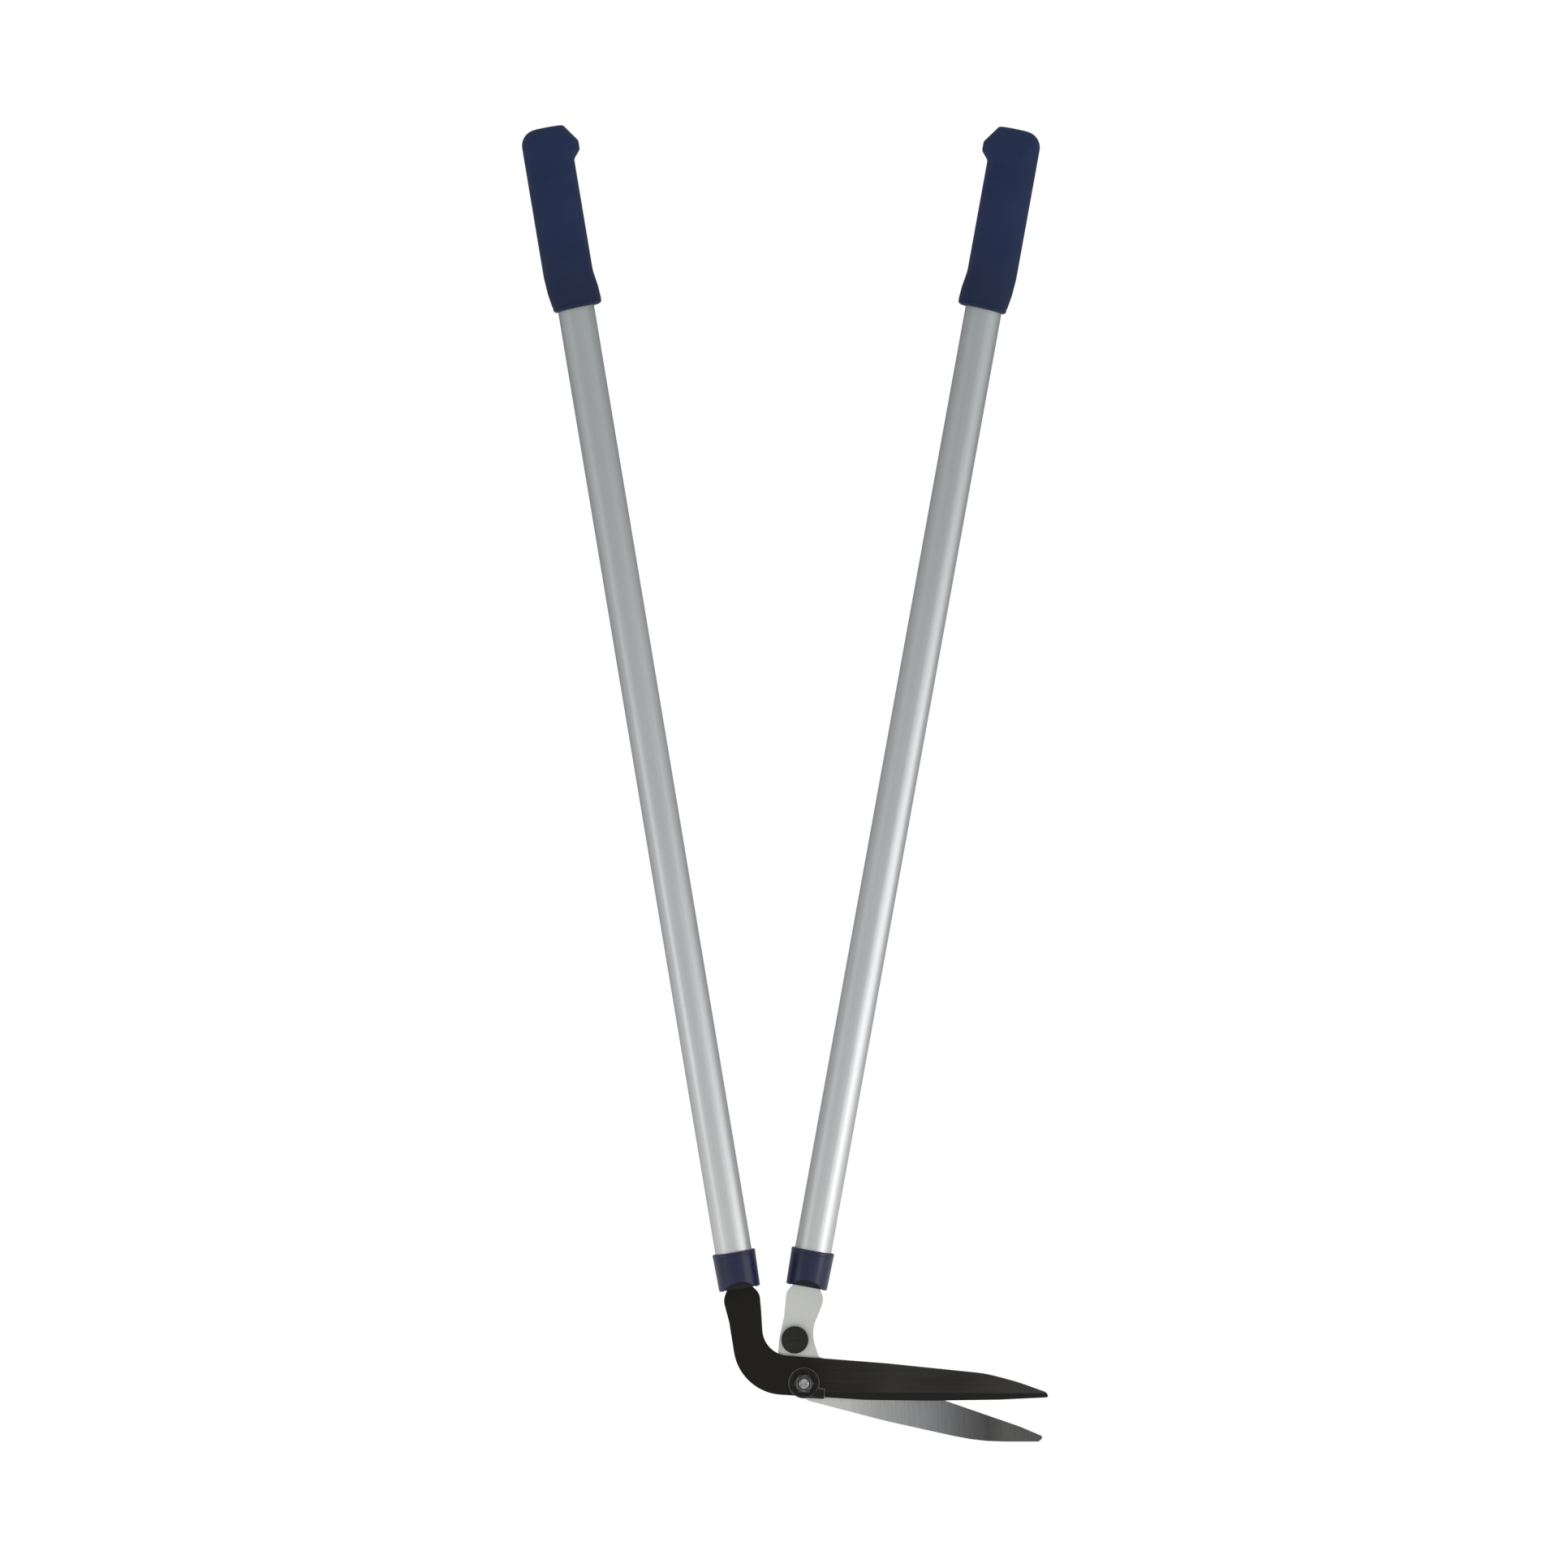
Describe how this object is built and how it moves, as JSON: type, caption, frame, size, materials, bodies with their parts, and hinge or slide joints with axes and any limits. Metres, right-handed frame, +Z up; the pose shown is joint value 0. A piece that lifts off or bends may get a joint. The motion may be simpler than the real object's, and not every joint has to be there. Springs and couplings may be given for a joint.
{
  "type": "edging shears",
  "caption": "Long-handled edging shears: two tube handles with soft grips, a cranked dark blade and a bright blade turning on one pivot bolt.",
  "frame": {"origin": "where the hand holds the right grip: on the right handle's axis, half-way along its grip", "axes": "+Z up along the handles, +X towards the blade tips, -Y the near side with the nut and the dark blade"},
  "size_m": [0.4014, 0.0403, 1.0058],
  "materials": {
    "black_steel": "satin, dark brown-black coating",
    "ground_steel": "satin, ground",
    "tube_aluminium": "satin anodised",
    "ferrule_plastic": "gloss",
    "grip_rubber": "soft matt",
    "nylon": "matt",
    "lock_nylon": "matt",
    "zinc_steel": "zinc plated",
    "dark_steel": "black oxide",
    "spring_steel": "oiled",
    "plug_plastic": "matt",
    "buffer_rubber": "matt"
  },
  "bodies": {
    "silver_arm": {"silver_blade": "ground_steel", "right_tube": "tube_aluminium", "right_ferrule": "ferrule_plastic", "right_grip": "grip_rubber", "right_tang_plug": "nylon", "right_tang_pin": "zinc_steel", "right_end_plug": "plug_plastic", "buffer": "buffer_rubber", "buffer_rivet": "zinc_steel", "buffer_washer": "zinc_steel"},
    "black_arm": {"black_blade": "black_steel", "left_tube": "tube_aluminium", "left_ferrule": "ferrule_plastic", "left_grip": "grip_rubber", "left_tang_plug": "nylon", "left_tang_pin": "zinc_steel", "left_end_plug": "plug_plastic", "pivot_bolt": "zinc_steel", "pivot_nut": "dark_steel", "nut_insert": "lock_nylon", "front_washer": "dark_steel", "tab_washer": "dark_steel", "spring_washer": "spring_steel", "back_washer": "zinc_steel"}
  },
  "joints": [
    {"name": "blade_pivot", "type": "hinge", "parent": "silver_arm", "child": "black_arm", "pos_m": [-0.14977, -0.00215, -0.88884], "axis": [0, -1, 0], "range_deg": [-9.3, 25]}
  ]
}
